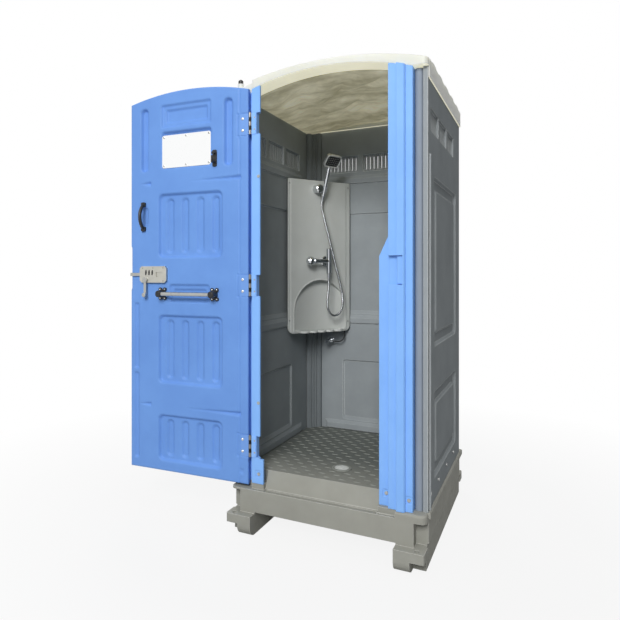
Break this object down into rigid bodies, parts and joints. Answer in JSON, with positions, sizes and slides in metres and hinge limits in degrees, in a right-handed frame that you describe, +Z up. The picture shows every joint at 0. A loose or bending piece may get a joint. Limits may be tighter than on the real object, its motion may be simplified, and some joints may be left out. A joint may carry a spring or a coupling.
{
  "type": "portable shower cabin",
  "caption": "Free-standing moulded shower cabin on a skid base, with a hinged door, vented walls, a vaulted roof, a corner shower panel, a mixer and a hand shower.",
  "frame": {"origin": "middle of the walls' square plan, on the ground under the base", "axes": "+X to the right of someone facing the doorway, +Y to the back, +Z up"},
  "size_m": [1.6233, 1.2069, 2.3521],
  "materials": {
    "blue": "satin moulded",
    "grey": "satin moulded",
    "wall": "satin moulded",
    "frame_grey": "satin moulded",
    "roof": "satin translucent",
    "panel": "satin moulded",
    "black": "satin",
    "chrome": "polished",
    "steel": "brushed",
    "mirror": "polished",
    "hose": "fine ribbed",
    "rubber": "matt"
  },
  "bodies": {
    "cabin": {"base": "grey", "drain_ring": "steel", "drain_grate": "steel", "wall_left": "wall", "wall_right": "wall", "wall_back": "wall", "post_front_left": "frame_grey", "post_front_right": "frame_grey", "post_back_left": "wall", "post_back_right": "wall", "jamb_left": "blue", "jamb_right": "blue", "strike_plate": "steel", "roof": "roof", "roof_cap": "black", "shower_panel": "panel", "panel_screws": "steel", "mixer_flange": "chrome", "mixer_body": "chrome", "handset_bracket": "chrome", "shower_hose": "hose", "hose_nut_mixer": "chrome", "angle_valve": "chrome", "supply_hose": "rubber", "hinge_jamb_screws": "steel", "jamb_bolts": "steel", "wall_bolts": "steel", "hinge_low_jamb_leaf": "steel", "hinge_low_pin": "steel", "hinge_mid_jamb_leaf": "steel", "hinge_mid_pin": "steel", "hinge_high_jamb_leaf": "steel", "hinge_high_pin": "steel"},
    "door": {"door_panel": "blue", "door_mirror": "mirror", "mirror_rivets": "steel", "coat_hook": "black", "pull_handle": "black", "latch_case": "steel", "grab_bar": "steel", "bar_bracket_near": "black", "bar_bracket_far": "black", "hinge_door_screws": "steel", "hinge_low_door_leaf": "steel", "hinge_mid_door_leaf": "steel", "hinge_high_door_leaf": "steel"},
    "latch_handle": {"latch_lever": "steel", "latch_spindle": "steel", "indicator_disc": "steel"},
    "latch_bolt": {"latch_bolt": "steel"},
    "mixer_knob": {"mixer_knob": "chrome"},
    "cradle": {"handset_cradle": "chrome"},
    "handset": {"hand_shower": "chrome", "spray_plate": "black", "hose_nut_handset": "chrome"},
    "valve_handle": {"valve_handle": "chrome"}
  },
  "joints": [
    {"name": "door_hinge", "type": "hinge", "parent": "cabin", "child": "door", "pos_m": [-0.389, -0.527, 1.253], "axis": [0, 0, 1], "range_deg": [0, 177]},
    {"name": "latch_turn", "type": "hinge", "parent": "door", "child": "latch_handle", "pos_m": [-1.01509, -0.57984, 1.28], "axis": [0.0523, -0.9986, 0], "range_deg": [0, 90]},
    {"name": "bolt_slide", "type": "slide", "parent": "door", "child": "latch_bolt", "axis": [-0.9986, -0.0523, 0], "range_m": [0, 0.028]},
    {"name": "mixer_turn", "type": "hinge", "parent": "cabin", "child": "mixer_knob", "pos_m": [-0.31218, 0.13105, 1.39], "axis": [0.5505, 0.8348, 0], "range_deg": [0, 90]},
    {"name": "cradle_tilt", "type": "hinge", "parent": "cabin", "child": "cradle", "pos_m": [-0.261, 0.2123, 1.833], "axis": [0.5505, 0.8348, 0], "range_deg": [-15, 15], "deforming": ["shower_hose"]},
    {"name": "handset_lift", "type": "slide", "parent": "cradle", "child": "handset", "axis": [0.2345, -0.0529, 0.9707], "range_m": [0, 0.06], "deforming": ["shower_hose"]},
    {"name": "valve_turn", "type": "hinge", "parent": "cabin", "child": "valve_handle", "pos_m": [-0.299, 0.362, 0.878], "axis": [0, -1, 0], "range_deg": [0, 90]}
  ],
  "couplings": [
    {"joint": "bolt_slide", "follows": "latch_turn", "m_per_rad": 0.017824}
  ]
}
